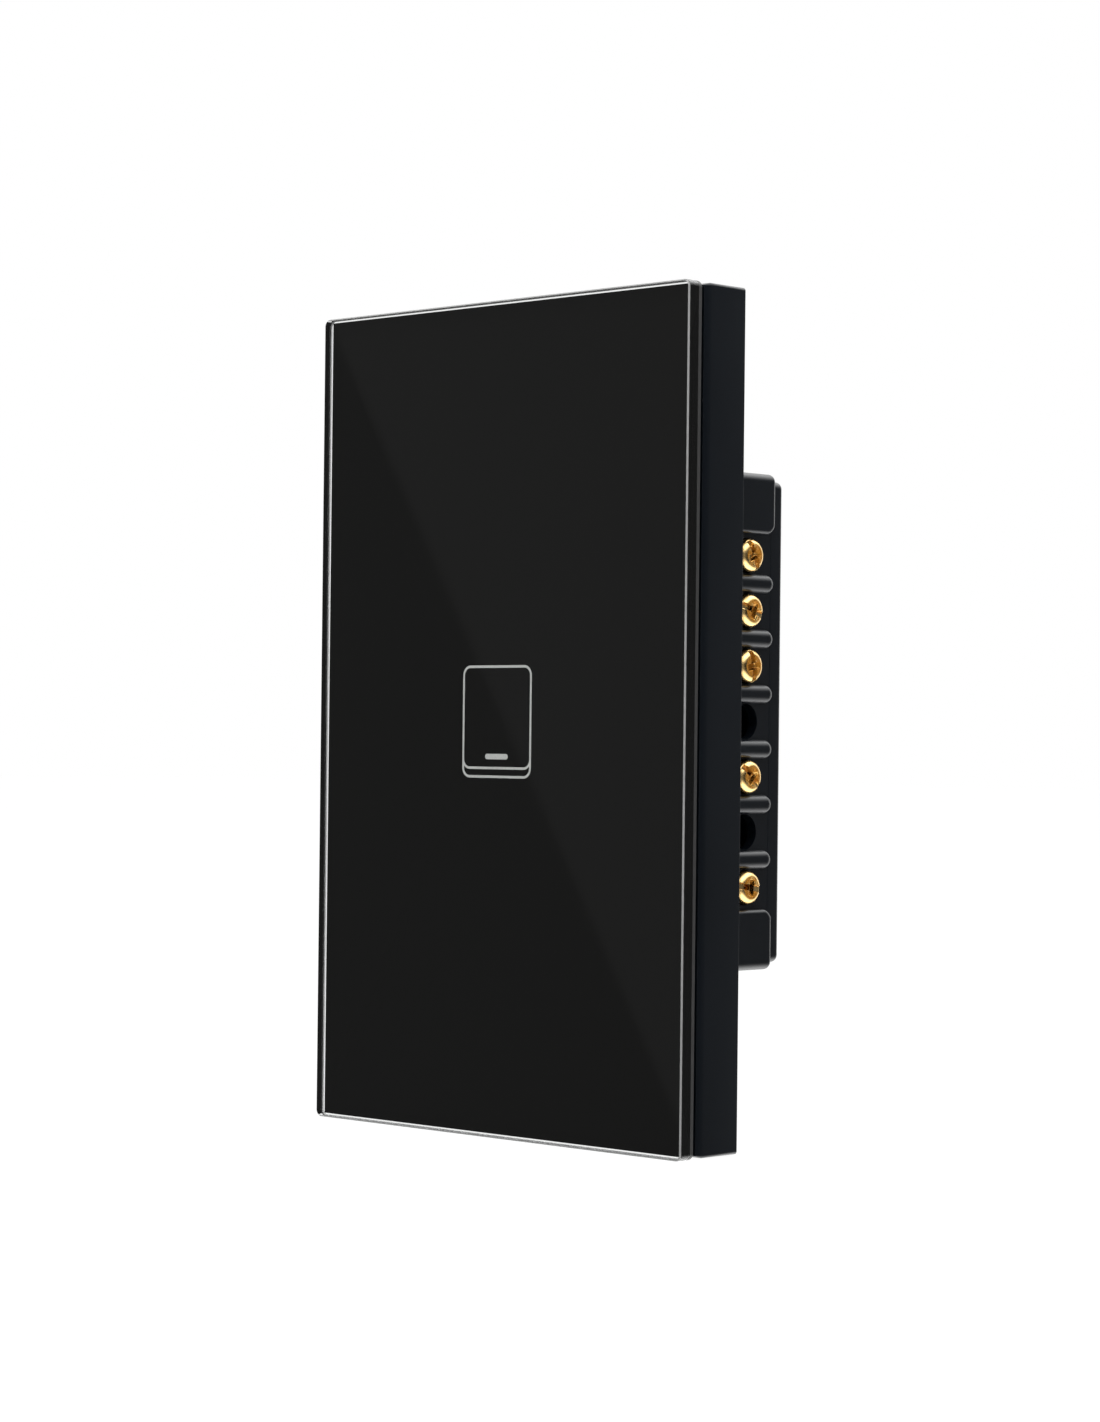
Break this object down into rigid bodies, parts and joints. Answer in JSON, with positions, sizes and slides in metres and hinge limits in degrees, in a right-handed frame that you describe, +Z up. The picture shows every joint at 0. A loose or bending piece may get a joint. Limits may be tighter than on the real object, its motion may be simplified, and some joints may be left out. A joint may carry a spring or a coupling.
{
  "type": "smart light switch",
  "caption": "Wall light switch with a black glass touch panel on a snap-off frame, a steel mounting plate and a black rear module with screw terminals on one side.",
  "frame": {"origin": "middle of the two box-screw slots, on the mounting plate's rear face, which is the wall plane", "axes": "+X to the right seen from the room, +Y into the wall box, +Z up"},
  "size_m": [0.074, 0.0368, 0.12],
  "materials": {
    "glass": "clear, polished",
    "black_print": "black printed layer",
    "mark_print": "light grey print",
    "tape": "black foam tape",
    "black_plastic": "matt moulded",
    "plate_steel": "zinc plated",
    "spring_steel": "spring steel strip and wire",
    "brass": "yellow plated brass",
    "screw_steel": "nickel plated",
    "board": "green solder mask",
    "clear_plastic": "clear moulded",
    "light": "light-emitting part",
    "chip": "moulded chip",
    "shield": "tinned can",
    "relay_plastic": "blue moulded",
    "coil": "wound copper wire",
    "iron": "plated iron",
    "contact": "contact metal",
    "ferrite": "pressed ferrite",
    "sleeve": "shrink sleeve",
    "tape_yellow": "insulating tape"
  },
  "bodies": {
    "base": {"mounting_plate": "plate_steel", "rear_housing": "black_plastic", "rear_cover": "black_plastic", "front_cover": "black_plastic", "light_guide": "clear_plastic", "status_light": "light", "touch_board": "board", "touch_spring": "spring_steel", "touch_chip": "chip", "radio_board": "board", "radio_shield": "shield", "link_socket": "chip", "link_header": "chip", "power_board": "board", "relay_case": "relay_plastic", "relay_base": "relay_plastic", "relay_yoke": "iron", "relay_coil": "coil", "relay_fixed_contact": "contact", "filter_capacitor": "sleeve", "transformer_core": "ferrite", "transformer_coil": "tape_yellow", "panel_clip_1": "spring_steel", "plate_rivet_1": "screw_steel", "cover_screw_1": "screw_steel", "panel_clip_2": "spring_steel", "plate_rivet_2": "screw_steel", "cover_screw_2": "screw_steel", "panel_clip_3": "spring_steel", "plate_rivet_3": "screw_steel", "cover_screw_3": "screw_steel", "panel_clip_4": "spring_steel", "plate_rivet_4": "screw_steel", "cover_screw_4": "screw_steel", "board_screw_1": "screw_steel", "power_screw_1": "screw_steel", "board_screw_2": "screw_steel", "power_screw_2": "screw_steel", "terminal_1": "brass", "terminal_2": "brass", "terminal_3": "brass", "terminal_4": "brass", "terminal_5": "brass"},
    "panel": {"glass_panel": "glass", "back_print": "black_print", "touch_mark": "mark_print", "panel_tape": "tape", "panel_frame": "black_plastic"},
    "clamp_1": {"clamp_plate_1": "brass"},
    "screw_1": {"terminal_screw_1": "brass"},
    "clamp_2": {"clamp_plate_2": "brass"},
    "screw_2": {"terminal_screw_2": "brass"},
    "clamp_3": {"clamp_plate_3": "brass"},
    "screw_3": {"terminal_screw_3": "brass"},
    "clamp_4": {"clamp_plate_4": "brass"},
    "screw_4": {"terminal_screw_4": "brass"},
    "clamp_5": {"clamp_plate_5": "brass"},
    "screw_5": {"terminal_screw_5": "brass"},
    "armature": {"relay_armature": "iron"}
  },
  "joints": [
    {"name": "front_panel", "type": "slide", "parent": "base", "child": "panel", "axis": [0, -1, 0], "range_m": [0, 0.013], "deforming": ["panel_clip_1", "panel_clip_2", "panel_clip_3", "panel_clip_4"]},
    {"name": "clamp_1_slide", "type": "slide", "parent": "base", "child": "clamp_1", "axis": [-1, 0, 0], "range_m": [0, 0.0025]},
    {"name": "screw_1_turn", "type": "hinge", "parent": "clamp_1", "child": "screw_1", "pos_m": [0.022, 0.017, 0.024], "axis": [-1, 0, 0], "range_deg": [0, 1800]},
    {"name": "clamp_2_slide", "type": "slide", "parent": "base", "child": "clamp_2", "axis": [-1, 0, 0], "range_m": [0, 0.0025]},
    {"name": "screw_2_turn", "type": "hinge", "parent": "clamp_2", "child": "screw_2", "pos_m": [0.022, 0.017, 0.016], "axis": [-1, 0, 0], "range_deg": [0, 1800]},
    {"name": "clamp_3_slide", "type": "slide", "parent": "base", "child": "clamp_3", "axis": [-1, 0, 0], "range_m": [0, 0.0025]},
    {"name": "screw_3_turn", "type": "hinge", "parent": "clamp_3", "child": "screw_3", "pos_m": [0.022, 0.017, 0.008], "axis": [-1, 0, 0], "range_deg": [0, 1800]},
    {"name": "clamp_4_slide", "type": "slide", "parent": "base", "child": "clamp_4", "axis": [-1, 0, 0], "range_m": [0, 0.0025]},
    {"name": "screw_4_turn", "type": "hinge", "parent": "clamp_4", "child": "screw_4", "pos_m": [0.022, 0.017, -0.008], "axis": [-1, 0, 0], "range_deg": [0, 1800]},
    {"name": "clamp_5_slide", "type": "slide", "parent": "base", "child": "clamp_5", "axis": [-1, 0, 0], "range_m": [0, 0.0025]},
    {"name": "screw_5_turn", "type": "hinge", "parent": "clamp_5", "child": "screw_5", "pos_m": [0.022, 0.017, -0.024], "axis": [-1, 0, 0], "range_deg": [0, 1800]},
    {"name": "relay_armature_tilt", "type": "hinge", "parent": "base", "child": "armature", "pos_m": [-0.0132, 0.013, -0.0129], "axis": [-1, 0, 0], "range_deg": [0, 4], "stiffness_Nm_per_rad": 0.00015, "springref_deg": -17.19}
  ],
  "couplings": [
    {"joint": "screw_1_turn", "follows": "clamp_1_slide", "rad_per_m": 12566},
    {"joint": "screw_2_turn", "follows": "clamp_2_slide", "rad_per_m": 12566},
    {"joint": "screw_3_turn", "follows": "clamp_3_slide", "rad_per_m": 12566},
    {"joint": "screw_4_turn", "follows": "clamp_4_slide", "rad_per_m": 12566},
    {"joint": "screw_5_turn", "follows": "clamp_5_slide", "rad_per_m": 12566}
  ]
}
